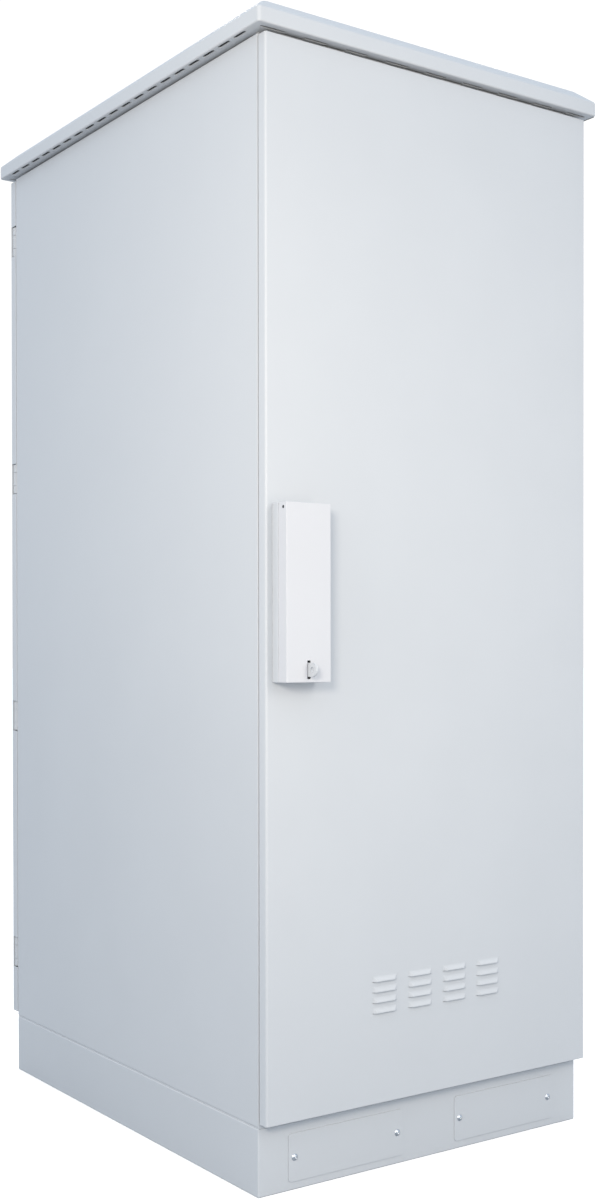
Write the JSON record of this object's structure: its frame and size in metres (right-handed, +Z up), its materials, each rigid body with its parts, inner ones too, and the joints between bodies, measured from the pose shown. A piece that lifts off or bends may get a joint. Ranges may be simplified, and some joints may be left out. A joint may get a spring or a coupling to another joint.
{
  "type": "roadside utility cabinet",
  "caption": "Tall floor-standing outdoor steel cabinet on a plinth, with a door front and rear, covered door handles, low louvres, a slotted rain hood and inner rack rails.",
  "frame": {"origin": "on the floor, under the centre of the cabinet", "axes": "+Z up, -Y out of the front door, +X to the right seen from the front"},
  "size_m": [0.74, 1.071, 1.888],
  "materials": {
    "powder_coat": "light grey polyester powder coat, fine texture, satin",
    "zinc_plate": "bright zinc-plated steel fasteners",
    "galvanised": "hot-dip galvanised sheet with faint spangle",
    "brass": "plain turned brass",
    "gasket_rubber": "black foamed sealing strip, matt",
    "black_nylon": "black moulded nylon, fine spark texture",
    "filter_mat": "off-white synthetic fibre filter mat"
  },
  "bodies": {
    "cabinet": {"plinth": "powder_coat", "plinth_cover_front_left": "powder_coat", "plinth_cover_front_right": "powder_coat", "plinth_cover_rear_left": "powder_coat", "plinth_cover_rear_right": "powder_coat", "plinth_cover_screws": "zinc_plate", "floor_pan": "powder_coat", "gland_plate": "galvanised", "gland_plate_screws": "zinc_plate", "front_frame": "powder_coat", "rear_frame": "powder_coat", "post_front_left": "powder_coat", "post_front_right": "powder_coat", "post_rear_left": "powder_coat", "post_rear_right": "powder_coat", "ceiling_pan": "powder_coat", "side_panel_left": "powder_coat", "side_panel_right": "powder_coat", "roof": "powder_coat", "roof_spacers": "zinc_plate", "frame_bolts": "zinc_plate", "rail_front_left": "galvanised", "rail_front_right": "galvanised", "rail_rear_left": "galvanised", "rail_rear_right": "galvanised", "depth_members_left": "galvanised", "depth_members_right": "galvanised", "earth_stud": "brass", "front_hinge_leaves": "powder_coat", "front_hinge_pins": "zinc_plate", "rear_hinge_leaves": "powder_coat", "rear_hinge_pins": "zinc_plate"},
    "front_door": {"front_door": "powder_coat", "front_door_gasket": "gasket_rubber", "front_door_stiffeners": "galvanised", "front_door_hinge_leaves": "powder_coat", "front_filter_frame": "black_nylon", "front_filter_mat": "filter_mat", "front_rod_guides": "black_nylon", "front_handle_base": "powder_coat", "front_cover_pin": "zinc_plate"},
    "front_handle_cover": {"front_handle_cover": "powder_coat"},
    "front_lock": {"front_lock_handle": "black_nylon", "front_lock_crank": "zinc_plate"},
    "front_upper_rod": {"front_upper_rod": "galvanised"},
    "front_lower_rod": {"front_lower_rod": "galvanised"},
    "rear_door": {"rear_door": "powder_coat", "rear_door_gasket": "gasket_rubber", "rear_door_stiffeners": "galvanised", "rear_door_hinge_leaves": "powder_coat", "rear_filter_frame": "black_nylon", "rear_filter_mat": "filter_mat", "rear_rod_guides": "black_nylon", "rear_handle_base": "powder_coat", "rear_cover_pin": "zinc_plate"},
    "rear_handle_cover": {"rear_handle_cover": "powder_coat"},
    "rear_lock": {"rear_lock_handle": "black_nylon", "rear_lock_crank": "zinc_plate"},
    "rear_upper_rod": {"rear_upper_rod": "galvanised"},
    "rear_lower_rod": {"rear_lower_rod": "galvanised"}
  },
  "joints": [
    {"name": "front_door_hinge", "type": "hinge", "parent": "cabinet", "child": "front_door", "pos_m": [0.343, -0.465, 0.976], "axis": [0, 0, 1], "range_deg": [0, 120]},
    {"name": "front_cover_hinge", "type": "hinge", "parent": "front_door", "child": "front_handle_cover", "pos_m": [-0.2955, -0.5043, 1.0903], "axis": [-1, 0, 0], "range_deg": [0, 100]},
    {"name": "front_lock_turn", "type": "hinge", "parent": "front_door", "child": "front_lock", "pos_m": [-0.2955, -0.4735, 0.96], "axis": [0, -1, 0], "range_deg": [0, 90]},
    {"name": "front_upper_rod_slide", "type": "slide", "parent": "front_door", "child": "front_upper_rod", "axis": [0, 0, 1], "range_m": [0, 0.0198]},
    {"name": "front_lower_rod_slide", "type": "slide", "parent": "front_door", "child": "front_lower_rod", "axis": [0, 0, -1], "range_m": [0, 0.0198]},
    {"name": "rear_door_hinge", "type": "hinge", "parent": "cabinet", "child": "rear_door", "pos_m": [-0.343, 0.465, 0.976], "axis": [0, 0, 1], "range_deg": [0, 120]},
    {"name": "rear_cover_hinge", "type": "hinge", "parent": "rear_door", "child": "rear_handle_cover", "pos_m": [0.2955, 0.5043, 1.0903], "axis": [1, 0, 0], "range_deg": [0, 100]},
    {"name": "rear_lock_turn", "type": "hinge", "parent": "rear_door", "child": "rear_lock", "pos_m": [0.2955, 0.4735, 0.96], "axis": [0, 1, 0], "range_deg": [0, 90]},
    {"name": "rear_upper_rod_slide", "type": "slide", "parent": "rear_door", "child": "rear_upper_rod", "axis": [0, 0, 1], "range_m": [0, 0.0198]},
    {"name": "rear_lower_rod_slide", "type": "slide", "parent": "rear_door", "child": "rear_lower_rod", "axis": [0, 0, -1], "range_m": [0, 0.0198]}
  ],
  "couplings": [
    {"joint": "front_lock_turn", "follows": "front_upper_rod_slide", "rad_per_m": 79.333},
    {"joint": "front_lower_rod_slide", "follows": "front_upper_rod_slide", "ratio": 1},
    {"joint": "rear_lock_turn", "follows": "rear_upper_rod_slide", "rad_per_m": 79.333},
    {"joint": "rear_lower_rod_slide", "follows": "rear_upper_rod_slide", "ratio": 1}
  ]
}
